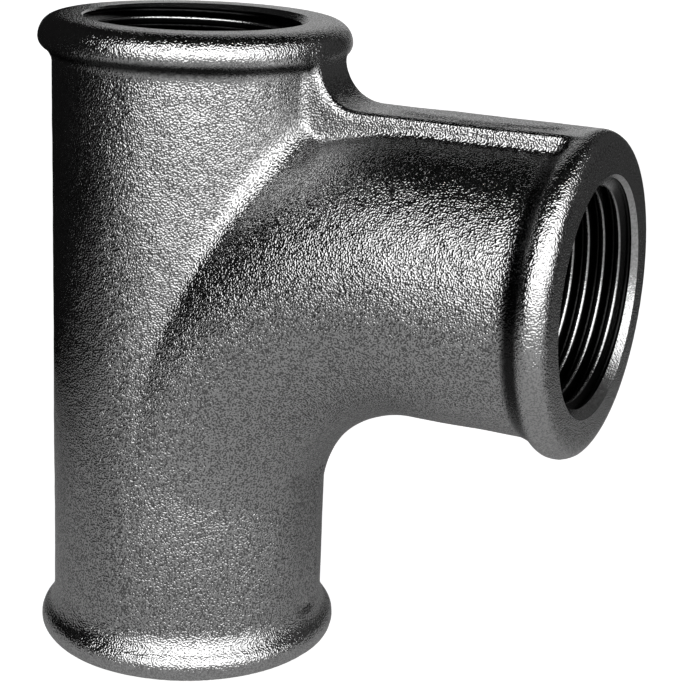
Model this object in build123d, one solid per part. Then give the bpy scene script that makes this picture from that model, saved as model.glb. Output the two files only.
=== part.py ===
from build123d import *
from math import acos, cos, radians, sin, tan
import os

# Swept pipe tee, size 1 (DN 25), with three beaded ends and parallel internal threads.
# The origin is the centre of the bottom end face. The run goes up along +Z, the branch leaves along +X.

# Centre-to-end lengths
bottom_to_branch_axis = 63.0
branch_axis_to_top = 33.0
run_axis_to_branch_end = 64.0

# Tapped sockets, left at the crest radius of their thread
thread_crest_radius = 15.1455
thread_height = 1.479
socket_depth = 17.0
mouth_relief = 0.3755
mouth_angle = 45.0
shoulder_angle = 60.0

# Waterway, cored a little wider than the roots of the thread so that the tap runs out
core_relief = 0.6755

# Tubes. The branch is a hair slimmer than the run, outside and inside.
wall = 3.6
branch_step = 0.2
bend_radius = 40.0

# Beads at the three ends. The neck sinks a little below the tube so that it ends in a clear line.
bead_height = 2.05
bead_round = 3.0
neck_round = 1.6
neck_sink = 0.05

# Web on the parting plane. Its corner in the crotch fills all but a short straight below the top bead.
web_half_width = 4.0
web_height = 1.7
web_straight = 0.9
web_edge_round = 0.95
web_foot_round = 1.15

# Blend outside, where the two tubes meet
crease_round = 3.5

# How far a hollow is carried past the face it opens, so that it breaks through
clear = 1.0

# How close an edge has to lie to a place to count as lying there
near = 0.01

# Worked-out sizes
thread_root_radius = thread_crest_radius + thread_height
mouth_radius = thread_root_radius + mouth_relief
run_core = thread_root_radius + core_relief
run_radius = run_core + wall
branch_core = run_core - branch_step
branch_radius = run_radius - branch_step
bead_radius = run_radius + bead_height

# Worked-out places
height = bottom_to_branch_axis + branch_axis_to_top
bend_start = bottom_to_branch_axis - bend_radius
run_stop = height - bead_round
branch_stop = run_axis_to_branch_end - bead_round
bottom_end = Plane(origin=(0, 0, 0), x_dir=(1, 0, 0), z_dir=(0, 0, -1))
top_end = Plane(origin=(0, 0, height), x_dir=(1, 0, 0), z_dir=(0, 0, 1))
branch_axis = Plane(
    origin=(0, 0, bottom_to_branch_axis), x_dir=(0, 1, 0), z_dir=(1, 0, 0)
)
branch_end = branch_axis.offset(run_axis_to_branch_end)


def bead(tube_radius):
    """Solid bead that sits behind the plane z = 0 and runs out on a tube of the given radius."""
    middle = bead_radius - bead_round
    low = tube_radius - neck_sink
    swing = acos(1 - (bead_radius - low) / (bead_round + neck_round))
    neck_end = -bead_round - (bead_round + neck_round) * sin(swing)

    def on_bead(angle):
        return (middle + bead_round * cos(angle), -bead_round - bead_round * sin(angle))

    def on_neck(angle):
        return (low + neck_round * (1 - cos(angle)), neck_end + neck_round * sin(angle))

    edges = [
        Line((0, 0), (middle, 0)),
        ThreePointArc((middle, 0), on_bead(-radians(45)), on_bead(0)),
        ThreePointArc(on_bead(0), on_bead(swing / 2), on_bead(swing)),
        ThreePointArc(on_bead(swing), on_neck(swing / 2), on_neck(0)),
        Line(on_neck(0), (0, neck_end)),
        Line((0, neck_end), (0, 0)),
    ]
    return revolve(Plane.XZ * make_face(edges), axis=Axis.Z)


def core_start(core_radius):
    """Depth below an end face at which the shoulder behind the thread reaches the cored waterway."""
    return socket_depth + (core_radius - thread_crest_radius) / tan(radians(shoulder_angle))


def socket(core_radius):
    """Hollow of one tapped socket behind the plane z = 0, with its mouth and its shoulder."""
    mouth_slope = tan(radians(mouth_angle))
    mouth_depth = (mouth_radius - thread_crest_radius) / mouth_slope
    outline = Polyline(
        (0, clear),
        (mouth_radius + clear * mouth_slope, clear),
        (thread_crest_radius, -mouth_depth),
        (thread_crest_radius, -socket_depth),
        (core_radius, -core_start(core_radius)),
        (0, -core_start(core_radius)),
        close=True,
    )
    return revolve(Plane.XZ * make_face(outline), axis=Axis.Z)


def run_bar(radius, start, end):
    """Straight round bar on the run axis between two heights."""
    return extrude(Plane.XY.offset(start) * Circle(radius), end - start)


def swept_bar(radius, end):
    """Round bar that leaves the run axis in a quarter bend and goes on along the branch axis."""
    pivot = Axis((bend_radius, 0, bend_start), (0, 1, 0))
    foot = Plane.XY.offset(bend_start) * Circle(radius)
    bend = revolve(foot, axis=pivot, revolution_arc=90)
    straight = extrude(branch_axis.offset(bend_radius) * Circle(radius), end - bend_radius)
    return bend + straight


def tubes():
    """Outside of the run and the swept branch as one solid, their crease rounded all the way round."""
    run = run_bar(run_radius, bead_round, run_stop)
    branch = swept_bar(branch_radius, branch_stop)
    joined = run + branch
    return fillet(new_edges(run, branch, combined=joined), crease_round)


def web():
    """Plate on the parting plane that follows the run, the crotch and the branch."""
    side = run_radius + web_height
    top = bottom_to_branch_axis + branch_radius + web_height
    corner_radius = run_stop - top - web_straight
    crotch = FilletPolyline(
        (side, run_stop), (side, top), (branch_stop, top), radius=corner_radius
    )
    inside = Polyline(
        (branch_stop, top),
        (branch_stop, bottom_to_branch_axis),
        (0, bottom_to_branch_axis),
        (0, run_stop),
        (side, run_stop),
    )
    plate = extrude(
        Plane.XZ * make_face(crotch.edges() + inside.edges()), web_half_width, both=True
    )
    outline = Plane.XZ * crotch
    flank_edges = plate.edges().filter_by(Axis.Y, reverse=True)
    outer = flank_edges.filter_by(
        lambda edge: outline.distance_to(edge.center()) < web_half_width + near
    )
    return fillet(outer, web_edge_round)


def webbed_tubes():
    """The tubes with the web on them, rounded where the web stands on the tubes."""
    form = tubes()
    plate = web()
    joined = form + plate
    foot = new_edges(form, plate, combined=joined)
    foot = foot.filter_by_position(Axis.Z, 0, run_stop, inclusive=(True, False))
    foot = foot.filter_by_position(Axis.X, 0, branch_stop, inclusive=(True, False))
    return fillet(foot, web_foot_round)


def outside():
    """The casting without its hollows."""
    return webbed_tubes() + [
        bottom_end * bead(run_radius),
        top_end * bead(run_radius),
        branch_end * bead(branch_radius),
    ]


def hollow():
    """The cored waterway with its three tapped sockets."""
    run_way = run_bar(run_core, core_start(run_core), height - core_start(run_core))
    branch_way = swept_bar(branch_core, run_axis_to_branch_end - core_start(branch_core))
    return run_way + [
        branch_way,
        bottom_end * socket(run_core),
        top_end * socket(run_core),
        branch_end * socket(branch_core),
    ]


os.makedirs("parts", exist_ok=True)
export_step(outside() - hollow(), "parts/tee_body.step")
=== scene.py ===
import logging
import math
from dataclasses import dataclass
from enum import Enum
from typing import Dict, List, NamedTuple, Sequence, Tuple, Union

import bpy
import numpy as np
from mathutils import Matrix, Vector


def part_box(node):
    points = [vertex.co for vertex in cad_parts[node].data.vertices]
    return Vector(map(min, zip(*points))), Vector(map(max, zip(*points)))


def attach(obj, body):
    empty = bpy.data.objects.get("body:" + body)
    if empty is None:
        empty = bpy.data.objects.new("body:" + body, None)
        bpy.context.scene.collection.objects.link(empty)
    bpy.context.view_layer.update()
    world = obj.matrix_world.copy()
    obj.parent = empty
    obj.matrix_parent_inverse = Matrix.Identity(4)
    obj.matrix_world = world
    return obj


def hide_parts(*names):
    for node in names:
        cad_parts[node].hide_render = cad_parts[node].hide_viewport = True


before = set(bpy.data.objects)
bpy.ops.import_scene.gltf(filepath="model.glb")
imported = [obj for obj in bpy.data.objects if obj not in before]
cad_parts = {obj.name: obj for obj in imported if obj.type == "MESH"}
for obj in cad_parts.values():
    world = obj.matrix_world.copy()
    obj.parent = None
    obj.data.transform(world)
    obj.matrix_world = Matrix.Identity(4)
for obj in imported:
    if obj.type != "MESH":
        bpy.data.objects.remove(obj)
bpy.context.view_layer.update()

# A swept pipe tee of black malleable iron, as cast, with its sockets tapped.
# All shapes are worked out in millimetres and put into the meshes in metres.
# Z is the run's axis, X the branch's, and the plane y = 0 is where the mould parted.

MM = 0.001
NODE = "tee_body"
BODY = "root"
SEED = 7

# Least and greatest wave number of a cosine in a random relief, over the one that is asked for
STRETCH = (0.75, 1.3)

# Least length that anything is divided by
TINY = 1e-12

# Least squared sine of the angle between two surfaces that a ball rolls in
PARALLEL = 1e-4

log = logging.getLogger("pipe_tee")


class Axis(Enum):
    """Direction in which the mouth of an end points."""

    DOWN = (0.0, 0.0, -1.0)
    UP = (0.0, 0.0, 1.0)
    OUT = (1.0, 0.0, 0.0)


class Reading(NamedTuple):
    """Distance of points to a surface, outside positive, and the surface's unit normals there."""

    distance: np.ndarray
    normal: np.ndarray


def unit(vectors: np.ndarray) -> np.ndarray:
    """Vectors divided by their lengths."""
    return vectors / np.maximum(np.linalg.norm(vectors, axis=-1, keepdims=True), TINY)


def smooth_step(values: np.ndarray, low: float, high: float) -> np.ndarray:
    """Goes from 0 at low to 1 at high as 3t^2 - 2t^3.

    Args:
        values: Numbers to map.
        low: Where the step starts. It may be above high, which turns the step round.
        high: Where the step ends.

    Returns:
        The mapped numbers, between 0 and 1.
    """
    t = np.clip((values - low) / (high - low), 0.0, 1.0)
    return t * t * (3.0 - 2.0 * t)


def waves(points: np.ndarray, length: float, count: int, seed: int) -> np.ndarray:
    """Smooth random relief: the sum of count cosines of about one wave length in random directions.

    Args:
        points: N by 3 positions in millimetres.
        length: Wave length in millimetres.
        count: How many cosines are added.
        seed: Seed of the random directions and phases.

    Returns:
        N numbers with a mean of 0 and a spread of about 1.
    """
    rng = np.random.default_rng(seed)
    directions = unit(rng.normal(size=(count, 3)))
    stretch = rng.uniform(*STRETCH, count)
    phases = rng.uniform(0.0, 2.0 * np.pi, count)
    angles = points @ (directions * stretch[:, None]).T * (2.0 * np.pi / length) + phases
    return np.cos(angles).sum(axis=1) * math.sqrt(2.0 / count)


def either(first: Reading, second: Reading, pick: np.ndarray) -> Reading:
    """The first reading where pick is true and the second elsewhere.

    Args:
        first: Reading that is taken where pick is true.
        second: Reading that is taken elsewhere.
        pick: A boolean for each point.

    Returns:
        The picked reading.
    """
    return Reading(
        np.where(pick, first.distance, second.distance),
        np.where(pick[:, None], first.normal, second.normal),
    )


def cut(first: Reading, second: Reading) -> Reading:
    """What lies inside both surfaces, with a sharp edge: the larger of the two distances."""
    return either(first, second, first.distance > second.distance)


def plane(points: np.ndarray, normal: Tuple[float, float, float], offset: float) -> Reading:
    """Half space: the distance of points beyond a plane.

    Args:
        points: N by 3 positions in millimetres.
        normal: Unit normal of the plane.
        offset: Distance of the plane from the origin along its normal.

    Returns:
        Reading of the half space.
    """
    n = np.array(normal)
    return Reading(points @ n - offset, np.broadcast_to(n, points.shape))


def rolled(first: Reading, second: Reading, radius: Union[float, np.ndarray]) -> Reading:
    """Union of two bodies with the hollow between them filled by a rolling ball.

    The ball's centre lies at one radius from both surfaces. With the distances a and b and the
    cosine c of the angle between the normals m and n, the way from a point to that centre is
    s m + t n, where s = (A - c B) / (1 - c^2), t = (B - c A) / (1 - c^2), A = radius - a and
    B = radius - b. Where s and t are both positive the surface is the ball's, and elsewhere it
    is the nearer of the two.

    Args:
        first: Reading of one body.
        second: Reading of the other body.
        radius: Radius of the ball in millimetres, one or an array of one for each point.

    Returns:
        Reading of the blended body.
    """
    nearer = either(first, second, first.distance < second.distance)
    c = (first.normal * second.normal).sum(axis=-1)
    sine2 = 1.0 - c * c
    a, b = radius - first.distance, radius - second.distance
    s = (a - c * b) / np.maximum(sine2, TINY)
    t = (b - c * a) / np.maximum(sine2, TINY)
    way = s[:, None] * first.normal + t[:, None] * second.normal
    ball = Reading(radius - np.linalg.norm(way, axis=-1), unit(way))
    return either(ball, nearer, (s > 0.0) & (t > 0.0) & (sine2 > PARALLEL))


def new_mesh(name: str, points: np.ndarray, faces: Sequence[np.ndarray]) -> bpy.types.Object:
    """Object with a mesh of the given faces.

    Args:
        name: Name of the object and its mesh.
        points: N by 3 positions in millimetres.
        faces: Arrays of corner numbers, each M by 3 or M by 4.

    Returns:
        The new object, linked to the scene.
    """
    mesh = bpy.data.meshes.new(name)
    sizes = np.concatenate([np.full(len(f), f.shape[1]) for f in faces]).astype(np.int32)
    corners = np.concatenate([f.ravel() for f in faces]).astype(np.int32)
    mesh.vertices.add(len(points))
    mesh.vertices.foreach_set("co", (points * MM).astype(np.float32).ravel())
    mesh.loops.add(len(corners))
    mesh.loops.foreach_set("vertex_index", corners)
    mesh.polygons.add(len(sizes))
    mesh.polygons.foreach_set("loop_start", np.r_[0, np.cumsum(sizes)[:-1]].astype(np.int32))
    mesh.polygons.foreach_set("loop_total", sizes)
    mesh.update(calc_edges=True)
    mesh.validate()
    made = bpy.data.objects.new(name, mesh)
    bpy.context.scene.collection.objects.link(made)
    return made


def tube(name: str, rings: np.ndarray) -> bpy.types.Object:
    """Closed skin over a row of rings, with a fan over the first and the last.

    Args:
        name: Name of the object.
        rings: R by K by 3 positions. Seen against the way the rings go, each turns to the left.

    Returns:
        The new object, its faces pointing outwards.
    """
    count, around = rings.shape[:2]
    index = np.arange(count * around).reshape(count, around)
    ahead = np.roll(index, -1, axis=1)
    sides = np.stack([index[:-1], ahead[:-1], ahead[1:], index[1:]], axis=-1).reshape(-1, 4)
    start, end = count * around, count * around + 1
    first = np.stack([ahead[0], index[0], np.full(around, start)], axis=-1)
    last = np.stack([index[-1], ahead[-1], np.full(around, end)], axis=-1)
    middles = np.stack([rings[0].mean(axis=0), rings[-1].mean(axis=0)])
    points = np.concatenate([rings.reshape(-1, 3), middles])
    return new_mesh(name, points, [sides, first, last])


def turned(profile: np.ndarray, around: int) -> np.ndarray:
    """Rings of a turned body: each (radius, height) goes to (r cos t, r sin t, height).

    Args:
        profile: R by 2 radii and heights, the heights rising.
        around: Number of points on each ring.

    Returns:
        R by around by 3 positions about the Z axis.
    """
    t = np.arange(around) * (2.0 * np.pi / around)
    radius, height = profile[:, :1], profile[:, 1:]
    return np.stack(
        [radius * np.cos(t), radius * np.sin(t), np.broadcast_to(height, (len(profile), around))],
        axis=-1,
    )


def swept_rings(
    places: np.ndarray, headings: np.ndarray, radii: np.ndarray, around: int
) -> np.ndarray:
    """Rings square to a line in the parting plane: place + r (cos t Y + sin t (heading x Y)).

    Args:
        places: R by 3 positions on the line.
        headings: R by 3 unit directions of the line.
        radii: R radii.
        around: Number of points on each ring.

    Returns:
        R by around by 3 positions.
    """
    t = np.arange(around) * (2.0 * np.pi / around)
    side = np.array([0.0, 1.0, 0.0])
    over = np.cross(headings, side)
    wave = np.cos(t)[None, :, None] * side + np.sin(t)[None, :, None] * over[:, None, :]
    return places[:, None, :] + radii[:, None, None] * wave


def direction(azimuth: float, elevation: float) -> Tuple[float, float, float]:
    """Unit vector (sin a cos e, -cos a cos e, sin e): azimuth 0 points along -Y, 90 along +X.

    Args:
        azimuth: The angle a in degrees.
        elevation: The angle e in degrees.

    Returns:
        The vector's three parts.
    """
    turn, rise = math.radians(azimuth), math.radians(elevation)
    level = math.cos(rise)
    return math.sin(turn) * level, -math.cos(turn) * level, math.sin(rise)


@dataclass(frozen=True)
class End:
    """One end of the tee: the middle of its face, the way its mouth points and its bead's profile.

    The crest lies at its own depth below the face. Its round towards the face is as large as that
    depth. Towards the tube it has another round, and the neck's round joins it to the tube. A
    painted shade darkens the neck at a depth, over a width. Without a width it is not darkened.
    """

    name: str
    centre: Tuple[float, float, float]
    axis: Axis
    crest: float
    under: float
    neck: float
    shade: float = 0.0
    shade_width: float = 0.0

    def out(self) -> np.ndarray:
        """Unit vector out of the mouth."""
        return np.array(self.axis.value)

    def place(self, points: np.ndarray) -> np.ndarray:
        """Moves points that are drawn about Z, with the face at z = 0, to this end.

        Args:
            points: N by 3 or R by K by 3 positions in millimetres.

        Returns:
            The moved positions, in the same order.
        """
        out = self.out()
        side = np.array([0.0, 1.0, 0.0])
        across = np.cross(side, out)
        return np.array(self.centre) + points @ np.stack([across, side, out])

    def depth_and_radius(self, points: np.ndarray) -> Tuple[np.ndarray, np.ndarray]:
        """Depth of points below the face and their distance from this end's axis.

        Args:
            points: N by 3 positions in millimetres.

        Returns:
            Array of N depths and array of N distances.
        """
        way = points - np.array(self.centre)
        along = way @ self.out()
        off = way - along[:, None] * self.out()
        return -along, np.linalg.norm(off, axis=-1)


@dataclass(frozen=True)
class Casting:
    """The outside of the casting as distances to its ideal surface, in millimetres.

    The fields from voxel on rule the mesh: the voxel of its first rough form, the points round
    a tube and along curves, and how often its points settle onto the surface and even out.
    """

    height: float
    reach: float
    bead_radius: float
    branch_height: float = 63.0
    run_radius: float = 20.9
    branch_radius: float = 20.7
    bend: float = 40.0
    bead_round: float = 2.5
    neck_round: float = 3.0
    top_crest: float = 3.1
    top_under: float = 1.8
    # Depth and width of the painted shade in the necks behind the top and branch beads
    top_shade: float = 4.85
    top_shade_width: float = 1.0
    branch_shade: float = 5.25
    branch_shade_width: float = 1.7
    crease_round: float = 3.5
    web_half_width: float = 5.0
    web_rise: float = 1.9
    web_run_rise: float = 1.45
    web_edge: float = 1.0
    web_corner: float = 6.2
    web_foot: float = 1.15
    web_neck: float = 1.6
    web_fade: float = 3.0
    web_below: float = 1.0
    web_beside: float = 0.3
    voxel: float = 0.67
    around: int = 96
    bend_steps: int = 24
    corner_steps: int = 12
    rim_steps: int = 13
    settling: int = 4
    evening: int = 14
    closing: int = 2

    @classmethod
    def from_frame(cls) -> "Casting":
        """The casting whose height, reach and bead fill the box of the solid it stands for."""
        low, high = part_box(NODE)
        return cls(height=high[2] / MM, reach=high[0] / MM, bead_radius=-low[0] / MM)

    def ends(self) -> List[End]:
        """Makes the three ends.

        Returns:
            Bottom, top and branch end.
        """
        foot = (0.0, 0.0, 0.0)
        high = (0.0, 0.0, self.height)
        out = (self.reach, 0.0, self.branch_height)
        plain = (self.bead_round, self.bead_round, self.neck_round)
        tight = (self.top_crest, self.top_under, self.top_under)
        return [
            End("bottom", foot, Axis.DOWN, *plain),
            End("top", high, Axis.UP, *tight, self.top_shade, self.top_shade_width),
            End("branch", out, Axis.OUT, *plain, self.branch_shade, self.branch_shade_width),
        ]

    def box(self) -> Tuple[np.ndarray, np.ndarray]:
        """Lowest and highest corner of the box round the ideal outside."""
        wide = self.bead_radius
        return np.array([-wide, -wide, 0.0]), np.array([self.reach, wide, self.height])

    def web_side(self) -> float:
        """Distance of the web's outer line beside the run from the run's axis."""
        return self.run_radius + self.web_run_rise

    def web_top(self) -> float:
        """Height of the web's outer line above the branch."""
        return self.branch_height + self.branch_radius + self.web_rise

    def run(self, points: np.ndarray) -> Reading:
        """Straight tube: distance from the Z axis less the radius."""
        off = points * np.array([1.0, 1.0, 0.0])
        return Reading(np.linalg.norm(off, axis=-1) - self.run_radius, unit(off))

    def swept(self, points: np.ndarray) -> Reading:
        """Bent tube: distance from a line that goes up the run, round a quarter circle and out.

        The quarter circle has the bend's radius about a pivot beside the run. Below the pivot the
        line is the run's axis, and beyond it the branch's.

        Args:
            points: N by 3 positions in millimetres.

        Returns:
            Reading of the bent tube.
        """
        x, y, z = points.T
        foot = self.branch_height - self.bend
        below, beyond = z < foot, (x > self.bend) & (z >= foot)
        far = np.maximum(np.hypot(x - self.bend, z - foot), TINY)
        off = np.select([below, beyond], [x, z - self.branch_height], far - self.bend)
        across = np.select([below, beyond], [1.0, 0.0], (x - self.bend) / far)
        up = np.select([below, beyond], [0.0, 1.0], (z - foot) / far)
        normal = unit(np.stack([off * across, y, off * up], axis=-1))
        return Reading(np.hypot(off, y) - self.branch_radius, normal)

    def web(self, points: np.ndarray) -> Reading:
        """Rib on the parting plane: a rounded bar along the run, a hollow corner and the branch.

        t is the distance in the parting plane beyond the rib's top line, which is a line beside
        the run, a quarter circle seen from its hollow side, and a line above the branch. With the
        edge's radius e and the half width w, the bar is the distance of (|y|, t) from a rectangle
        of half width w - e and top -e, less e.

        Args:
            points: N by 3 positions in millimetres.

        Returns:
            Reading of the rib.
        """
        x, y, z = points.T
        side, top = self.web_side(), self.web_top()
        pivot_x, pivot_z = side + self.web_corner, top + self.web_corner
        left, low = x < pivot_x, z < pivot_z
        far = np.maximum(np.hypot(x - pivot_x, z - pivot_z), TINY)
        zone = [left & low, left, low]
        t = np.select(
            zone, [self.web_corner - far, x - side, z - top], np.minimum(x - side, z - top)
        )
        out_x = np.select(zone, [(pivot_x - x) / far, 1.0, 0.0], 0.0)
        out_z = np.select(zone, [(pivot_z - z) / far, 0.0, 1.0], 0.0)
        over = np.stack([out_x, np.zeros_like(x), out_z], axis=-1)
        beside = np.stack([np.zeros_like(x), np.sign(y), np.zeros_like(x)], axis=-1)
        wide, tall = np.abs(y) - (self.web_half_width - self.web_edge), t + self.web_edge
        bar = either(
            Reading(wide - self.web_edge, beside),
            Reading(tall - self.web_edge, over),
            wide > tall,
        )
        edge = wide[:, None] * beside + tall[:, None] * over
        rounded = Reading(np.linalg.norm(edge, axis=-1) - self.web_edge, unit(edge))
        whole = either(rounded, bar, (wide > 0.0) & (tall > 0.0))
        whole = cut(whole, plane(points, (-1.0, 0.0, 0.0), 0.0))
        return cut(whole, plane(points, (0.0, 0.0, -1.0), -self.branch_height))

    def on_web(self, points: np.ndarray) -> np.ndarray:
        """Finds the points of the outside that lie on the web's top or flanks.

        Args:
            points: N by 3 positions in millimetres.

        Returns:
            Array of N booleans.
        """
        beside = points[:, 0] > self.run_radius - self.web_below
        above = points[:, 2] > self.branch_height + self.branch_radius - self.web_below
        return beside & above & (np.abs(points[:, 1]) < self.web_half_width + self.web_beside)

    def bead(self, points: np.ndarray, end: End) -> Reading:
        """Rounded disc: distance from a flat disc at the crest's depth, less that side's round.

        Args:
            points: N by 3 positions in millimetres.
            end: The end that the bead stands on.

        Returns:
            Reading of the bead.
        """
        out = end.out()
        depth, radius = end.depth_and_radius(points)
        off = points - np.array(end.centre) + depth[:, None] * out
        round_ = np.where(depth < end.crest, end.crest, end.under)
        beyond = np.maximum(radius - (self.bead_radius - round_), 0.0)
        way = beyond[:, None] * unit(off) - (depth - end.crest)[:, None] * out
        return Reading(np.linalg.norm(way, axis=-1) - round_, unit(way))

    def neck(self, points: np.ndarray, end: End) -> np.ndarray:
        """Radius of the hollow behind a bead at each point, which tightens on and beside the web.

        Args:
            points: N by 3 positions in millimetres.
            end: The end that the bead stands on.

        Returns:
            Array of N radii in millimetres.
        """
        fade = self.web_fade
        edge = self.run_radius - fade
        beside = smooth_step(points[:, 0], edge - fade, edge)
        above = smooth_step(points[:, 2] - self.branch_height, edge - fade, edge)
        across = smooth_step(np.abs(points[:, 1]) - self.web_half_width, fade, 0.0)
        return end.neck - (end.neck - self.web_neck) * beside * above * across

    def skin(self, points: np.ndarray) -> Reading:
        """The whole outside: tubes, web and beads, each hollow between them rolled out.

        Args:
            points: N by 3 positions in millimetres.

        Returns:
            Reading of the outside.
        """
        form = rolled(self.run(points), self.swept(points), self.crease_round)
        form = rolled(form, self.web(points), self.web_foot)
        for end in self.ends():
            stop = float(np.dot(end.out(), end.centre)) - end.crest
            form = cut(form, plane(points, end.axis.value, stop))
        for end in self.ends():
            bead = self.bead(points, end)
            nearer = either(form, bead, form.distance < bead.distance)
            behind = end.depth_and_radius(points)[0] > end.crest
            form = either(rolled(form, bead, self.neck(points, end)), nearer, behind)
        return form

    def centre_line(self, steps: int) -> Tuple[np.ndarray, np.ndarray]:
        """Points and directions of the swept tube's centre line from the foot of the bend outwards.

        Args:
            steps: Number of points on the quarter circle.

        Returns:
            Positions and unit directions, each N by 3, ending at the middle of the branch's bead.
        """
        turn = np.linspace(0.0, np.pi / 2.0, steps)
        foot = self.branch_height - self.bend
        zero = np.zeros(steps)
        arc = np.stack(
            [self.bend * (1.0 - np.cos(turn)), zero, foot + self.bend * np.sin(turn)], axis=-1
        )
        heading = np.stack([np.sin(turn), zero, np.cos(turn)], axis=-1)
        out = np.array([[self.reach - self.bead_round, 0.0, self.branch_height]])
        return np.concatenate([arc, out]), np.concatenate([heading, [[1.0, 0.0, 0.0]]])

    def blanks(self) -> List[bpy.types.Object]:
        """Rough overlapping bodies that fill the outside to within a voxel: tubes, web and beads.

        Returns:
            The new objects.
        """
        round_ = self.bead_round
        bar = np.array([[self.run_radius, round_], [self.run_radius, self.height - round_]])
        made = [tube("blank_run", turned(bar, self.around))]
        places, headings = self.centre_line(self.bend_steps)
        radii = np.full(len(places), self.branch_radius)
        made.append(tube("blank_branch", swept_rings(places, headings, radii, self.around)))
        made.append(self.web_blank())
        turn = np.linspace(-np.pi / 2.0, np.pi / 2.0, self.rim_steps)
        rim = self.bead_radius - round_ + round_ * np.cos(turn)
        disc = np.stack([rim, round_ * np.sin(turn) - round_], axis=-1)
        for end in self.ends():
            made.append(tube(f"blank_bead_{end.name}", end.place(turned(disc, self.around))))
        return made

    def web_blank(self) -> bpy.types.Object:
        """Rough web: a square bar whose rings go down the run, round the corner and out.

        Returns:
            The new object.
        """
        side, top = self.web_side(), self.web_top()
        turn = np.linspace(0.0, np.pi / 2.0, self.corner_steps)
        corner_x = side + self.web_corner * (1.0 - np.cos(turn))
        corner_z = top + self.web_corner * (1.0 - np.sin(turn))
        crest_x = np.r_[side, corner_x, self.reach - self.bead_round]
        crest_z = np.r_[self.height - self.bead_round, corner_z, top]
        way_x = np.r_[1.0, np.cos(turn), 0.0]
        way_z = np.r_[0.0, np.sin(turn), 1.0]
        low, wide = self.web_rise + self.crease_round, self.web_half_width
        across = np.array([-wide, wide, wide, -wide])
        down = np.array([0.0, 0.0, low, low])
        rings = np.stack(
            [
                crest_x[:, None] - way_x[:, None] * down,
                np.broadcast_to(across, (len(crest_x), 4)),
                crest_z[:, None] - way_z[:, None] * down,
            ],
            axis=-1,
        )
        return tube("blank_web", rings)

    def settled(self, points: np.ndarray, steps: int) -> np.ndarray:
        """Points walked along the normals onto the ideal surface.

        Args:
            points: N by 3 positions.
            steps: Number of steps, each as long as the distance that is left.

        Returns:
            N by 3 positions.
        """
        for _ in range(steps):
            here = self.skin(points)
            points = points - here.distance[:, None] * here.normal
        return points

    def evened(self, points: np.ndarray, edges: np.ndarray) -> np.ndarray:
        """Settled points spread evenly: each goes half way to its neighbours' mean and settles.

        Args:
            points: N by 3 positions.
            edges: M by 2 numbers of neighbours.

        Returns:
            N by 3 positions on the ideal surface.
        """
        points = self.settled(points, self.settling)
        start, end = np.concatenate([edges, edges[:, ::-1]]).T
        count = np.bincount(start, minlength=len(points))[:, None]
        for _ in range(self.evening):
            total = [np.bincount(start, points[end, k], len(points)) for k in range(3)]
            middle = np.stack(total, axis=-1) / count
            points = self.settled(0.5 * (points + middle), 1)
        return self.settled(points, self.closing)


@dataclass(frozen=True)
class Relief:
    """What casting and fettling leave on the ideal skin, in millimetres."""

    slow: float = 0.03
    slow_length: float = 13.0
    slow_count: int = 18
    quick: float = 0.009
    quick_length: float = 3.6
    quick_count: int = 36
    face_fade: float = 1.2
    pad_rise: float = 0.3
    pad_start: float = 33.0
    pad_end: float = 57.0
    pad_half_width: float = 3.2
    pad_reach: float = 0.6
    pad_edge: Tuple[float, float] = (1.1, 0.85)
    pad_outside: float = 1.2
    flat_back: float = 20.72
    flat_front: float = 20.6
    flat_foot: float = 7.0
    flat_top: float = 30.0
    flat_beside: float = 1.0

    def apply(self, casting: Casting, points: np.ndarray) -> np.ndarray:
        """The settled points with waves, the ground gate pad and the fettled flats on them.

        The waves are two sums of cosines along the normal that die out at the three faces. The pad
        lifts the web's top inside an ellipse, whose edge has the radius 1. The flats hold the run
        inside two planes.

        Args:
            casting: The ideal outside.
            points: N by 3 positions on it.

        Returns:
            N by 3 positions.
        """
        normal = casting.skin(points).normal
        rise = self.slow * waves(points, self.slow_length, self.slow_count, SEED)
        rise += self.quick * waves(points, self.quick_length, self.quick_count, SEED + 1)
        for end in casting.ends():
            depth = end.depth_and_radius(points)[0]
            rise = rise * smooth_step(np.abs(depth), 0.0, self.face_fade)
        made = points + rise[:, None] * normal
        x, y, z = made.T
        middle, half = (self.pad_start + self.pad_end) / 2.0, (self.pad_end - self.pad_start) / 2.0
        oval = np.hypot((x - middle) / half, y / self.pad_half_width)
        web_top = casting.web_top()
        on_pad = (np.abs(z - web_top) < self.pad_reach) & (oval < self.pad_outside)
        lifted = web_top + self.pad_rise * smooth_step(oval, *self.pad_edge)
        made[:, 2] = np.where(on_pad, np.maximum(z, lifted), z)
        near = np.abs(y) < casting.web_half_width + self.flat_beside
        between = (z > self.flat_foot) & (z < casting.height - self.flat_foot)
        back = near & between & (x < 0.0)
        front = near & (z > self.flat_foot) & (z < self.flat_top) & (x > 0.0)
        made[:, 0] = np.where(back, np.maximum(x, -self.flat_back), made[:, 0])
        made[:, 0] = np.where(front, np.minimum(x, self.flat_front), made[:, 0])
        return np.clip(made, *casting.box())


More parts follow.
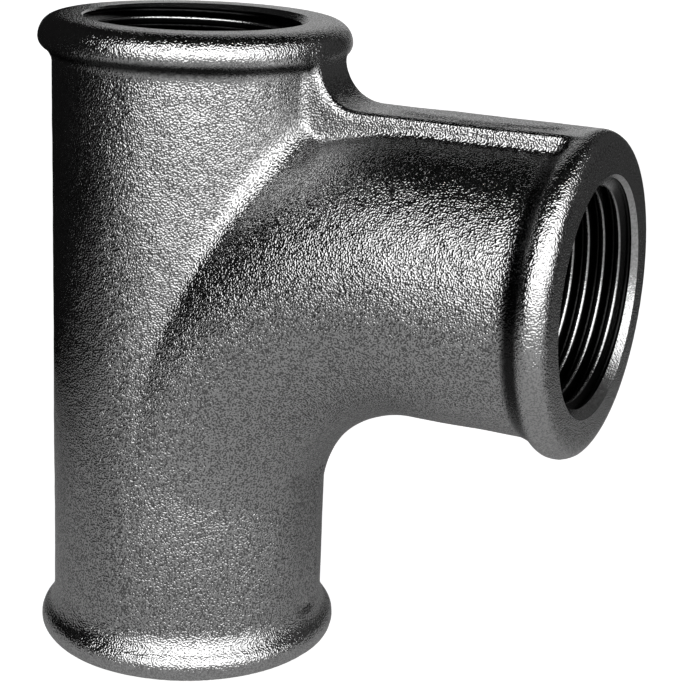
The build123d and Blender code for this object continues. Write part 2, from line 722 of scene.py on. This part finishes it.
@dataclass(frozen=True)
class Thread:
    """A parallel pipe thread with rounded crests and roots, and the mouth it starts in."""

    pitch: float = 2.309
    crest_radius: float = 15.1455
    half_angle: float = 27.5
    round_share: float = 0.137329
    height_share: float = 0.640327
    depth: float = 17.0
    mouth_radius: float = 17.0
    top_mouth_radius: float = 16.6
    run_out: float = 3.4
    first_crest: float = 0.7
    overshoot: float = 1.2
    arc_shares: Tuple[float, ...] = (0.0, 0.55, 1.0)
    sink: float = 0.1
    around: int = 132

    def form(self) -> Tuple[np.ndarray, np.ndarray]:
        """One pitch of the thread: places along the axis and radii of the groove's outline.

        Crest and root are arcs of the rounding radius r, and the flanks between them lean by the
        half angle h: an arc point at the angle u from the top has (r sin u, r (1 - cos u)), with
        u up to 90 degrees - h.

        Returns:
            Array of places and array of radii in millimetres.
        """
        round_ = self.round_share * self.pitch
        height = self.height_share * self.pitch
        lean = math.radians(90.0 - self.half_angle)
        u = np.array(self.arc_shares) * lean
        along, down = round_ * np.sin(u), round_ * (1.0 - np.cos(u))
        half = self.pitch / 2.0
        place = np.r_[along, half - along[::-1]]
        radius = np.r_[down, height - down[::-1]]
        place = np.r_[place, self.pitch - place[-2:0:-1]]
        radius = np.r_[radius, radius[-2:0:-1]]
        return place, self.crest_radius + radius

    def tap(self, end: End) -> bpy.types.Object:
        """Closed body that cuts the thread: rows run along the helix, and rise a pitch each turn.

        Column k of K stands at the turn 2 pi k / K, and row i of it at the height of the form's
        point i modulo J, plus a pitch for each whole J, plus the pitch times k / K. So the last
        column meets the first one J rows up, and each end is a fan round a turn of the helix.

        Args:
            end: The end that is tapped.

        Returns:
            The new object.
        """
        place, radius = self.form()
        per_turn = len(place)
        buried = int(math.ceil((self.depth + self.run_out - self.first_crest) / self.pitch))
        start = -self.first_crest - buried * self.pitch
        turns = int(math.ceil((self.overshoot - start) / self.pitch))
        rows = per_turn * turns + 1
        row, column = np.arange(rows), np.arange(self.around)
        height = start + self.pitch * (row // per_turn) + place[row % per_turn]
        height = height[:, None] + self.pitch * (column / self.around)[None, :]
        reach = np.broadcast_to(radius[row % per_turn][:, None], height.shape)
        t = column * (2.0 * np.pi / self.around)
        grid = np.stack([reach * np.cos(t), reach * np.sin(t), height], axis=-1)
        index = np.arange(rows * self.around).reshape(rows, self.around)
        inner = np.stack(
            [index[:-1, :-1], index[:-1, 1:], index[1:, 1:], index[1:, :-1]], axis=-1
        ).reshape(-1, 4)
        last, lifted = index[: rows - per_turn, -1], index[per_turn:, 0]
        seam = np.stack([last[:-1], lifted[:-1], lifted[1:], last[1:]], axis=-1)
        bottom = np.r_[index[0], index[per_turn:0:-1, 0]]
        top = np.r_[index[-1], index[-2 : rows - per_turn - 2 : -1, -1]]
        low, high = index.size, index.size + 1
        fan_low = np.stack([np.roll(bottom, -1), bottom, np.full(len(bottom), low)], axis=-1)
        fan_high = np.stack([top, np.roll(top, -1), np.full(len(top), high)], axis=-1)
        middles = np.array([[0.0, 0.0, grid[0, :, 2].mean()], [0.0, 0.0, grid[-1, :, 2].mean()]])
        points = end.place(np.concatenate([grid.reshape(-1, 3), middles]))
        return new_mesh(f"tap_{end.name}", points, [inner, seam, fan_low, fan_high])

    def mouth_reach(self, end: End) -> float:
        """Radius of an end's mouth in its face: the top one was countersunk less."""
        return self.top_mouth_radius if end.axis is Axis.UP else self.mouth_radius

    def mouth(self, end: End) -> bpy.types.Object:
        """Closed cone that cuts the mouth: its radius grows by as much as its height.

        Args:
            end: The end whose mouth is cut.

        Returns:
            The new object.
        """
        reach = self.mouth_reach(end)
        low = self.crest_radius - reach - self.sink
        profile = np.array([[reach + low, low], [reach + self.overshoot, self.overshoot]])
        return tube(f"mouth_{end.name}", end.place(turned(profile, self.around)))


@dataclass(frozen=True)
class Waterway:
    """The cored hollow behind the sockets, in millimetres. Its shoulders sink into the crests."""

    run_radius: float = 17.3
    branch_radius: float = 17.1
    shoulder_slope: float = 1.732
    sink: float = 0.1
    roughness: float = 0.09
    wave_length: float = 5.0
    wave_count: int = 24
    around: int = 88
    spacing: float = 1.6

    def rough(self, rings: np.ndarray, middles: np.ndarray) -> np.ndarray:
        """Rings pushed in and out from their middles by smooth random relief.

        Args:
            rings: R by K by 3 positions.
            middles: R by 3 positions.

        Returns:
            R by K by 3 positions.
        """
        way = rings - middles[:, None, :]
        rise = self.roughness * waves(
            rings.reshape(-1, 3), self.wave_length, self.wave_count, SEED + 2
        )
        return rings + unit(way) * rise.reshape(rings.shape[:2])[:, :, None]

    def run(self, casting: Casting, thread: Thread) -> bpy.types.Object:
        """Straight core with a shoulder cone at each end, down to inside the thread's crest.

        Args:
            casting: The ideal outside, which gives the height.
            thread: The thread, which gives the depth and the crest.

        Returns:
            The new object.
        """
        inner = thread.crest_radius - self.sink
        ramp = (self.run_radius - inner) / self.shoulder_slope
        low, high = thread.depth, casting.height - thread.depth
        count = int((high - low - 2.0 * ramp) / self.spacing)
        z = np.r_[low, np.linspace(low + ramp, high - ramp, count), high]
        radius = np.r_[inner, np.full(count, self.run_radius), inner]
        rings = turned(np.stack([radius, z], axis=-1), self.around)
        middles = np.stack([np.zeros_like(z), np.zeros_like(z), z], axis=-1)
        rings[1:-1] = self.rough(rings[1:-1], middles[1:-1])
        return tube("core_run", rings)

    def branch(self, casting: Casting, thread: Thread) -> bpy.types.Object:
        """Core that follows the bend and ends in a shoulder cone behind the branch's thread.

        Args:
            casting: The ideal outside, which gives the centre line.
            thread: The thread, which gives the depth and the crest.

        Returns:
            The new object.
        """
        inner = thread.crest_radius - self.sink
        ramp = (self.branch_radius - inner) / self.shoulder_slope
        stop = casting.reach - thread.depth
        arc, way = casting.centre_line(int(casting.bend * np.pi / 2.0 / self.spacing))
        count = int((stop - ramp - casting.bend) / self.spacing) + 1
        x = np.r_[np.linspace(casting.bend, stop - ramp, count + 1)[1:], stop]
        level = np.full_like(x, casting.branch_height)
        places = np.concatenate([arc[:-1], np.stack([x, np.zeros_like(x), level], axis=-1)])
        headings = np.concatenate([way[:-1], np.tile([1.0, 0.0, 0.0], (len(x), 1))])
        radii = np.r_[np.full(len(places) - 1, self.branch_radius), inner]
        rings = swept_rings(places, headings, radii, self.around)
        rings[:-1] = self.rough(rings[:-1], places[:-1])
        return tube("core_branch", rings)


class Value:
    """One output socket of a shader graph, with arithmetic that adds Math nodes."""

    def __init__(self, graph: "Graph", socket: bpy.types.NodeSocket) -> None:
        """Wraps a socket of a graph."""
        self.graph = graph
        self.socket = socket

    def _math(self, operation: str, first: "Number", second: "Number") -> "Value":
        """A Math node with that operation on two numbers or values."""
        return self.graph.node("ShaderNodeMath", {"operation": operation}, {0: first, 1: second})

    def __add__(self, other: "Number") -> "Value":
        """self + other."""
        return self._math("ADD", self, other)

    def __radd__(self, other: "Number") -> "Value":
        """other + self."""
        return self._math("ADD", other, self)

    def __sub__(self, other: "Number") -> "Value":
        """self - other."""
        return self._math("SUBTRACT", self, other)

    def __rsub__(self, other: "Number") -> "Value":
        """other - self."""
        return self._math("SUBTRACT", other, self)

    def __mul__(self, other: "Number") -> "Value":
        """self * other."""
        return self._math("MULTIPLY", self, other)

    def __rmul__(self, other: "Number") -> "Value":
        """other * self."""
        return self._math("MULTIPLY", other, self)


Number = Union[float, Value]
Colour = Tuple[float, float, float]
Settings = Dict[str, Union[str, bool, int, float]]
Sockets = Dict[Union[int, str], Union[Number, Tuple[float, ...]]]


class Graph:
    """A node tree that is filled by short calls."""

    def __init__(self, tree: bpy.types.NodeTree) -> None:
        """Empties the tree and keeps it."""
        tree.nodes.clear()
        self.tree = tree

    def add(self, kind: str, settings: Settings, sockets: Sockets) -> bpy.types.Node:
        """Adds a node, sets it up and fills its sockets.

        Args:
            kind: Type name of the node.
            settings: Properties of the node, set first.
            sockets: Inputs by number or name: a Value is linked, anything else is set.

        Returns:
            The new node.
        """
        made = self.tree.nodes.new(kind)
        for name, setting in settings.items():
            setattr(made, name, setting)
        for key, content in sockets.items():
            if isinstance(content, Value):
                self.tree.links.new(content.socket, made.inputs[key])
            else:
                made.inputs[key].default_value = content
        return made

    def node(
        self, kind: str, settings: Settings, sockets: Sockets, output: Union[int, str] = 0
    ) -> Value:
        """Adds a node and gives one output of it, by number or name."""
        return Value(self, self.add(kind, settings, sockets).outputs[output])

    def place(self) -> Value:
        """Object coordinates."""
        return self.node("ShaderNodeTexCoord", {}, {}, "Object")

    def noise(self, size: float, detail: float, rough: float) -> Value:
        """Noise from 0 to 1 at the object's coordinates.

        Args:
            size: Size of its features in millimetres.
            detail: How many finer layers are added.
            rough: Share of each finer layer in the one before.

        Returns:
            The noise.
        """
        sockets = {"Scale": 1.0 / (size * MM), "Detail": detail, "Roughness": rough}
        sockets["Vector"] = self.place()
        return self.node("ShaderNodeTexNoise", {}, sockets, "Fac")

    def steps(self, value: Value, low: float, high: float) -> Value:
        """A number that goes from 0 to 1 along a smooth step.

        Args:
            value: The number that it follows.
            low: Where the step starts.
            high: Where the step ends.

        Returns:
            The mapped number.
        """
        return self.node(
            "ShaderNodeMapRange",
            {"interpolation_type": "SMOOTHSTEP"},
            {"Value": value, 1: low, 2: high, 3: 0.0, 4: 1.0},
        )

    def colours(self, factor: Value, first: Colour, last: Colour) -> Value:
        """A colour between two by a factor."""
        sockets = {0: factor, 6: (*first, 1.0), 7: (*last, 1.0)}
        return self.node("ShaderNodeMix", {"data_type": "RGBA"}, sockets, 2)

    def blend(self, factor: Value, first: Value, last: Colour) -> Value:
        """A colour from the graph that goes to a fixed one by a factor."""
        sockets = {0: factor, 6: first, 7: (*last, 1.0)}
        return self.node("ShaderNodeMix", {"data_type": "RGBA"}, sockets, 2)

    def bump(self, height: Value) -> Value:
        """A normal bent by a height in millimetres."""
        sockets = {"Strength": 1.0, "Distance": MM, "Height": height}
        return self.node("ShaderNodeBump", {}, sockets, "Normal")

    def metal(self, colour: Value, rough: Number, normal: Value) -> Value:
        """Bare metal with that colour, roughness and normal."""
        sockets = {"Base Color": colour, "Metallic": 1.0, "Roughness": rough, "Normal": normal}
        return self.node("ShaderNodeBsdfPrincipled", {}, sockets)

    def glow(self, kind: str, strength: Value) -> Value:
        """A white emission or background node of that strength."""
        return self.node(kind, {}, {"Color": (1.0, 1.0, 1.0, 1.0), "Strength": strength})

    def rays(self, kind: str) -> Value:
        """1 for rays of one kind, such as Is Camera Ray, and 0 for the others."""
        return self.node("ShaderNodeLightPath", {}, {}, kind)

    def attribute(self, name: str) -> Value:
        """A number kept on the mesh."""
        return self.node("ShaderNodeAttribute", {"attribute_name": name}, {}, "Fac")

    def finish(self, surface: Value, kind: str = "ShaderNodeOutputMaterial") -> None:
        """Adds the tree's output, of that node type, and links the surface to it."""
        self.add(kind, {}, {"Surface": surface})


@dataclass(frozen=True)
class CastSkin:
    """Black as-cast iron: a fine orange peel that glitters, paler in its pits on the beads.

    Sizes and heights of the grain, the lumps and the patches are in millimetres.
    """

    pit: Colour = (0.16, 0.16, 0.16)
    peak: Colour = (0.47, 0.47, 0.47)
    # Painted shade in the necks behind the top and branch beads
    neck: Colour = (0.02, 0.02, 0.02)
    pit_level: float = 0.38
    peak_level: float = 0.57
    roughness: float = 0.17
    face_roughness: float = 0.2
    grain: float = 0.25
    grain_height: float = 0.12
    bead_calm: float = 0.1
    bead_fill: float = 0.5
    lump: float = 1.6
    lump_height: float = 0.10
    patch: float = 7.0
    patch_spread: float = 0.12

    def material(self) -> bpy.types.Material:
        """Builds the material.

        Returns:
            The new material.
        """
        made = bpy.data.materials.new("black_iron_skin")
        made.use_nodes = True
        graph = Graph(made.node_tree)
        face = graph.attribute("end_face")
        bead = graph.attribute("bead")
        neck = graph.attribute("neck")
        patch = graph.noise(self.patch, detail=3.0, rough=0.55)
        grain = graph.noise(self.grain, detail=0.0, rough=0.5)
        lump = graph.noise(self.lump, detail=1.0, rough=0.5)
        level = graph.steps(grain, self.pit_level, self.peak_level)
        level = level + (1.0 - level) * bead * (1.0 - face) * self.bead_fill
        skin = graph.colours(level, self.pit, self.peak)
        # Painted shade: the necks behind the top and branch beads go near black
        colour = graph.blend(neck, skin, self.neck)
        rough = self.roughness + (patch - 0.5) * self.patch_spread
        rough = rough + face * (self.face_roughness - self.roughness)
        calm = 1.0 - bead * self.bead_calm
        height = (grain * self.grain_height + lump * self.lump_height) * calm
        graph.finish(graph.metal(colour, rough, graph.bump(height)))
        return made


@dataclass(frozen=True)
class TappedIron:
    """Iron cut by the tap: painted highlight on crests and the mouth's cone, painted black shade in
    grooves.

    Sizes and heights of the specks and the tool's marks are in millimetres.
    """

    # Painted shade in the grooves and on the flanks
    dark: Colour = (0.012, 0.012, 0.012)
    # Painted highlight on the crests, and on the cut metal of the mouth's cone
    light: Colour = (0.58, 0.58, 0.58)
    roughness: float = 0.20
    speck: float = 0.4
    speck_low: float = 0.2
    speck_spread: float = 1.3
    mark: float = 0.25
    mark_height: float = 0.05

    def material(self) -> bpy.types.Material:
        """Builds the material.

        Returns:
            The new material.
        """
        made = bpy.data.materials.new("tapped_iron")
        made.use_nodes = True
        graph = Graph(made.node_tree)
        speck = graph.noise(self.speck, detail=3.0, rough=0.6)
        # The crests and the mouth's cone get the painted highlight, the grooves the painted shade
        bare_and_highlight = graph.attribute("bare_and_highlight") * (self.speck_low + speck * self.speck_spread)
        colour = graph.colours(bare_and_highlight, self.dark, self.light)
        mark = graph.noise(self.mark, detail=2.0, rough=0.5)
        graph.finish(graph.metal(colour, self.roughness, graph.bump(mark * self.mark_height)))
        return made


@dataclass(frozen=True)
class TeeBody:
    """The finished tee: the casting with its waterway cored and its three ends tapped.

    The fades, in millimetres, are where a mark on the mesh starts and where it is full: by depth
    below a face, by height over a crest and by distance from a mouth's cone. The shade's fade is
    in shares of its width.
    """

    casting: Casting
    relief: Relief = Relief()
    thread: Thread = Thread()
    waterway: Waterway = Waterway()
    skin: CastSkin = CastSkin()
    tapped: TappedIron = TappedIron()
    face_fade: Tuple[float, float] = (0.45, 0.02)
    bead_fade: Tuple[float, float] = (7.4, 6.0)
    shade_fade: Tuple[float, float] = (1.0, 0.45)
    crest_fade: Tuple[float, float] = (0.15, 0.0)
    cone_fade: Tuple[float, float] = (0.12, 0.02)
    beyond_bead: float = 1.0
    inside_mouth: float = 0.002
    below_thread: float = 0.05
    sharp_angle: float = 32.0

    def outside(self) -> bpy.types.Object:
        """The closed outside: the blanks joined by a voxel remesh, settled and given their relief.

        Returns:
            The new object.
        """
        blanks = self.casting.blanks()
        body = join("casting", blanks)
        remesh = body.modifiers.new("skin", "REMESH")
        remesh.mode = "VOXEL"
        remesh.voxel_size = self.casting.voxel * MM
        body = applied(body, "casting")
        points = read_points(body.data) / MM
        points = self.casting.evened(points, read_edges(body.data))
        write_points(body.data, self.relief.apply(self.casting, points) * MM)
        return body

    def build(self) -> bpy.types.Object:
        """Cuts the waterway and the sockets out of the outside and dresses what is left.

        Returns:
            The finished piece.
        """
        body = self.outside()
        tools = [
            self.waterway.run(self.casting, self.thread),
            self.waterway.branch(self.casting, self.thread),
        ]
        for end in self.casting.ends():
            tools += [self.thread.tap(end), self.thread.mouth(end)]
        for tool in tools:
            cutter = body.modifiers.new(tool.name, "BOOLEAN")
            cutter.operation = "DIFFERENCE"
            cutter.solver = "MANIFOLD"
            cutter.object = tool
        body = applied(body, "pipe_tee")
        for tool in tools:
            bpy.data.meshes.remove(tool.data)
        self.dress(body.data)
        return body

    def marks(self, points: np.ndarray) -> Dict[str, np.ndarray]:
        """What the finishes vary by: end faces, beads, painted neck shade, painted highlight on cut
        metal.

        Args:
            points: N by 3 positions in millimetres.

        Returns:
            For each mark an array of N numbers from 0 to 1.
        """
        face, bead, neck, bare_and_highlight = (np.zeros(len(points)) for _ in range(4))
        off_web = ~self.casting.on_web(points)
        for end in self.casting.ends():
            depth, radius = end.depth_and_radius(points)
            near = radius < self.casting.bead_radius + self.beyond_bead
            face = np.maximum(face, near * smooth_step(depth, *self.face_fade))
            bead = np.maximum(bead, near * smooth_step(depth, *self.bead_fade))
            # Painted shade: the necks behind the top and branch beads are darkened, but not on the
            # web
            if end.shade_width > 0.0:
                line = np.abs(depth - end.shade) / end.shade_width
                neck = np.maximum(neck, near * off_web * smooth_step(line, *self.shade_fade))
            # Painted highlight on the crests and the mouth's cut cone; the grooves keep the painted
            # shade
            groove = radius - self.thread.crest_radius
            cone = np.abs(radius + depth - self.thread.mouth_reach(end))
            bare_and_highlight = np.maximum(bare_and_highlight, near * smooth_step(groove, *self.crest_fade))
            bare_and_highlight = np.maximum(bare_and_highlight, near * smooth_step(cone, *self.cone_fade))
        return {"end_face": face, "bead": bead, "neck": neck, "bare_and_highlight": bare_and_highlight}

    def cut_by_tap(self, points: np.ndarray) -> np.ndarray:
        """Finds the places in the sockets and their mouths.

        Args:
            points: N by 3 positions in millimetres.

        Returns:
            Array of N booleans.
        """
        found = np.zeros(len(points), bool)
        for end in self.casting.ends():
            depth, radius = end.depth_and_radius(points)
            inside = radius < self.thread.mouth_reach(end) - self.inside_mouth
            found |= inside & (depth > 0.0) & (depth < self.thread.depth + self.below_thread)
        return found

    def dress(self, mesh: bpy.types.Mesh) -> None:
        """Gives the mesh its marks, its two finishes and its sharp edges.

        Args:
            mesh: The finished mesh.
        """
        for name, values in self.marks(read_points(mesh) / MM).items():
            mark = mesh.attributes.new(name, "FLOAT", "POINT")
            mark.data.foreach_set("value", values.astype(np.float32))
        tapped = self.cut_by_tap(read_centres(mesh) / MM)
        mesh.materials.clear()
        mesh.materials.append(self.skin.material())
        mesh.materials.append(self.tapped.material())
        mesh.polygons.foreach_set("material_index", tapped.astype(np.int32))
        mesh.polygons.foreach_set("use_smooth", np.ones(len(tapped), bool))
        mesh.set_sharp_from_angle(angle=math.radians(self.sharp_angle))
        mesh.update()


def read_points(mesh: bpy.types.Mesh) -> np.ndarray:
    """Reads the positions of a mesh's vertices.

    Args:
        mesh: The mesh.

    Returns:
        N by 3 positions in metres.
    """
    flat = np.zeros(len(mesh.vertices) * 3, np.float32)
    mesh.vertices.foreach_get("co", flat)
    return flat.reshape(-1, 3).astype(float)


def read_centres(mesh: bpy.types.Mesh) -> np.ndarray:
    """Reads the middles of a mesh's faces.

    Args:
        mesh: The mesh.

    Returns:
        M by 3 positions in metres.
    """
    flat = np.zeros(len(mesh.polygons) * 3, np.float32)
    mesh.polygons.foreach_get("center", flat)
    return flat.reshape(-1, 3)


def read_edges(mesh: bpy.types.Mesh) -> np.ndarray:
    """Reads which vertices a mesh's edges join.

    Args:
        mesh: The mesh.

    Returns:
        M by 2 vertex numbers.
    """
    flat = np.zeros(len(mesh.edges) * 2, np.int32)
    mesh.edges.foreach_get("vertices", flat)
    return flat.reshape(-1, 2)


def write_points(mesh: bpy.types.Mesh, points: np.ndarray) -> None:
    """Puts N by 3 positions into a mesh."""
    mesh.vertices.foreach_set("co", points.astype(np.float32).ravel())
    mesh.update()


def join(name: str, parts: Sequence[bpy.types.Object]) -> bpy.types.Object:
    """One object with the meshes of several, which are removed.

    Args:
        name: Name of the new object.
        parts: Objects at the origin.

    Returns:
        The new object.
    """
    points: List[np.ndarray] = []
    sizes: List[np.ndarray] = []
    corners: List[np.ndarray] = []
    count = 0
    for part in parts:
        mesh = part.data
        loops = np.zeros(len(mesh.loops), np.int32)
        totals = np.zeros(len(mesh.polygons), np.int32)
        mesh.loops.foreach_get("vertex_index", loops)
        mesh.polygons.foreach_get("loop_total", totals)
        points.append(read_points(mesh))
        corners.append(loops + count)
        sizes.append(totals)
        count += len(mesh.vertices)
        bpy.data.meshes.remove(mesh)
    whole, size = np.concatenate(corners), np.concatenate(sizes)
    start = np.r_[0, np.cumsum(size)[:-1]]
    faces = [whole[start[size == n][:, None] + np.arange(n)] for n in np.unique(size)]
    return new_mesh(name, np.concatenate(points) / MM, faces)


def applied(source: bpy.types.Object, name: str) -> bpy.types.Object:
    """A copy of an object with its modifiers applied. The source is removed.

    Args:
        source: Object with modifiers.
        name: Name of the new object.

    Returns:
        The new object.
    """
    graph = bpy.context.evaluated_depsgraph_get()
    mesh = bpy.data.meshes.new_from_object(source.evaluated_get(graph))
    mesh.name = name
    bpy.data.meshes.remove(source.data)
    made = bpy.data.objects.new(name, mesh)
    bpy.context.scene.collection.objects.link(made)
    return made


@dataclass(frozen=True)
class Viewpoint:
    """The camera, placed as the photograph was taken. Angles in degrees, lengths in millimetres."""

    azimuth: float = 24.939
    elevation: float = 16.368
    roll: float = 2.134
    distance: float = 281.488
    target: Tuple[float, float, float] = (25.133, 0.0, 50.672)
    focal_pixels: float = 1916.194
    image_width: float = 682.0
    sensor: float = 36.0
    nearest: float = 10.0
    farthest: float = 20000.0

    def build(self) -> bpy.types.Object:
        """Makes the camera the scene's own.

        Returns:
            The camera object.
        """
        lens = bpy.data.cameras.new("camera")
        lens.sensor_width = self.sensor
        lens.lens = self.sensor * self.focal_pixels / self.image_width
        lens.clip_start, lens.clip_end = self.nearest * MM, self.farthest * MM
        roll = math.radians(self.roll)
        back = Vector(direction(self.azimuth, self.elevation))
        right = (-back).cross(Vector((0.0, 0.0, 1.0))).normalized()
        up = right.cross(-back)
        across = math.cos(roll) * right + math.sin(roll) * up
        above = -math.sin(roll) * right + math.cos(roll) * up
        made = bpy.data.objects.new("camera", lens)
        rows = Matrix((across, above, back)).transposed().to_4x4()
        place = (Vector(self.target) + self.distance * back) * MM
        made.matrix_world = Matrix.Translation(place) @ rows
        bpy.context.scene.collection.objects.link(made)
        bpy.context.scene.camera = made
        return made


@dataclass(frozen=True)
class Softbox:
    """A rectangular lamp that faces the tee. Angles in degrees, lengths in metres."""

    name: str
    azimuth: float
    elevation: float
    distance: float
    width: float
    height: float
    radiance: float

    def build(self, aim: Vector) -> bpy.types.Object:
        """Makes the lamp. Its power is pi times its area times its radiance.

        Args:
            aim: The point it faces.

        Returns:
            The lamp object.
        """
        lamp = bpy.data.lights.new(self.name, "AREA")
        lamp.shape = "RECTANGLE"
        lamp.size, lamp.size_y = self.width, self.height
        lamp.energy = math.pi * self.width * self.height * self.radiance
        way = Vector(direction(self.azimuth, self.elevation))
        turn = way.to_track_quat("Z", "Y").to_matrix().to_4x4()
        made = bpy.data.objects.new(self.name, lamp)
        made.matrix_world = Matrix.Translation(aim + way * self.distance) @ turn
        bpy.context.scene.collection.objects.link(made)
        return made


@dataclass(frozen=True)
class Card:
    """A flat upright card on the stage, across the way to it from the tee. Lengths in metres.

    It spans the heights from low to high, and glossy rays see it glow.
    """

    name: str
    azimuth: float
    distance: float
    width: float
    low: float
    high: float
    glow: float

    def build(self, material: bpy.types.Material) -> bpy.types.Object:
        """Makes the card.

        Args:
            material: Its paint.

        Returns:
            The card object.
        """
        foot = np.array(direction(self.azimuth, 0.0)) * self.distance
        side = np.array(direction(self.azimuth + 90.0, 0.0)) * self.width / 2.0
        left, right = foot - side, foot + side
        up = np.array([0.0, 0.0, 1.0])
        low, high = self.low * up, self.high * up
        corners = np.stack([left + low, right + low, right + high, left + high])
        made = new_mesh(self.name, corners / MM, [np.array([[0, 1, 2, 3]])])
        made.data.materials.append(material)
        return made


@dataclass(frozen=True)
class Studio:
    """Plain pale floor and backdrop, soft lamps in front, black cards and a dim room. In metres."""

    aim: Tuple[float, float, float] = (0.02, 0.0, 0.05)
    radiance: float = 2.9
    floor_size: float = 6.0
    floor_drop: float = 0.00005
    floor_colour: Colour = (0.42, 0.42, 0.42)
    black: Colour = (0.012, 0.012, 0.012)
    camera_lift: float = 0.95
    glossy_lift: float = 0.05
    room: float = 0.005

    def lamps(self) -> List[Softbox]:
        """The two softboxes, side by side, that wrap the front and the right."""
        shared = {"elevation": 28.0, "distance": 0.5, "height": 0.53, "radiance": self.radiance}
        return [
            Softbox("lamp_front", azimuth=5.0, width=0.52, **shared),
            Softbox("lamp_right", azimuth=62.0, width=0.577, **shared),
        ]

    def backdrop(self) -> Card:
        """The pale card behind the tee, across the camera's way."""
        return Card(
            "backdrop", azimuth=205.0, distance=0.45, width=0.34, low=0.0, high=0.45, glow=0.3
        )

    def black_cards(self) -> List[Card]:
        """The cards that the skin mirrors as dark bands. The camera doesn't see them."""
        left = {"azimuth": -93.0, "distance": 0.075, "width": 0.16, "low": 0.018, "high": 0.26}
        front = {"azimuth": -40.0, "distance": 0.24, "width": 0.4, "low": 0.0, "high": 0.045}
        right = {"azimuth": 136.0, "distance": 0.2, "width": 0.3, "low": 0.0, "high": 0.26}
        return [
            Card("black_card_left", glow=0.0, **left),
            Card("black_card_low", glow=0.0, **front),
            Card("black_card_right", glow=0.06, **right),
        ]

    def paint(self, name: str, colour: Colour, camera: float, glossy: float) -> bpy.types.Material:
        """Matte paint that camera rays and glossy rays see brighter than it is lit.

        Args:
            name: Name of the material.
            colour: Colour of the paint.
            camera: Light added for camera rays.
            glossy: Light added for glossy and transmitted rays.

        Returns:
            The new material.
        """
        made = bpy.data.materials.new(name)
        made.use_nodes = True
        graph = Graph(made.node_tree)
        mirrored = graph.rays("Is Glossy Ray") + graph.rays("Is Transmission Ray")
        strength = graph.rays("Is Camera Ray") * camera + mirrored * glossy
        lit = graph.node("ShaderNodeBsdfDiffuse", {}, {"Color": (*colour, 1.0)})
        lift = graph.glow("ShaderNodeEmission", strength)
        graph.finish(graph.node("ShaderNodeAddShader", {}, {0: lit, 1: lift}))
        return made

    def room_shader(self) -> None:
        """Makes the room dim and grey, and white where the camera looks past the floor."""
        world = bpy.data.worlds.new("room")
        bpy.context.scene.world = world
        world.use_nodes = True
        graph = Graph(world.node_tree)
        strength = graph.rays("Is Camera Ray") * (1.0 - self.room) + self.room
        graph.finish(graph.glow("ShaderNodeBackground", strength), "ShaderNodeOutputWorld")

    def build(self) -> None:
        """Makes the floor, the backdrop, the cards, the lamps and the room."""
        half = self.floor_size / 2.0 / MM
        low = -self.floor_drop / MM
        corners = np.array(
            [[-half, -half, low], [half, -half, low], [half, half, low], [-half, half, low]]
        )
        floor = new_mesh("floor", corners, [np.array([[0, 1, 2, 3]])])
        grey, lift = self.floor_colour, self.camera_lift
        floor.data.materials.append(self.paint("pale_floor", grey, lift, self.glossy_lift))
        backdrop = self.backdrop()
        backdrop.build(self.paint("backdrop_white", grey, lift, backdrop.glow))
        for card in self.black_cards():
            paint = self.paint(card.name.replace("_card", ""), self.black, 0.0, card.glow)
            card.build(paint).visible_camera = False
        for lamp in self.lamps():
            lamp.build(Vector(self.aim))
        self.room_shader()
        bpy.context.scene.view_settings.view_transform = "Standard"


def main() -> None:
    """Builds the tee, the camera and the studio, and says what each piece holds."""
    logging.basicConfig(level=logging.INFO, format="%(name)s: %(message)s")
    tee = TeeBody(Casting.from_frame()).build()
    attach(tee, BODY)
    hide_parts(NODE)
    log.info("%s: %d vertices, %d faces", tee.name, len(tee.data.vertices), len(tee.data.polygons))
    Viewpoint().build()
    Studio().build()
    log.info("camera and studio are in place")


if __name__ == "__main__":
    main()
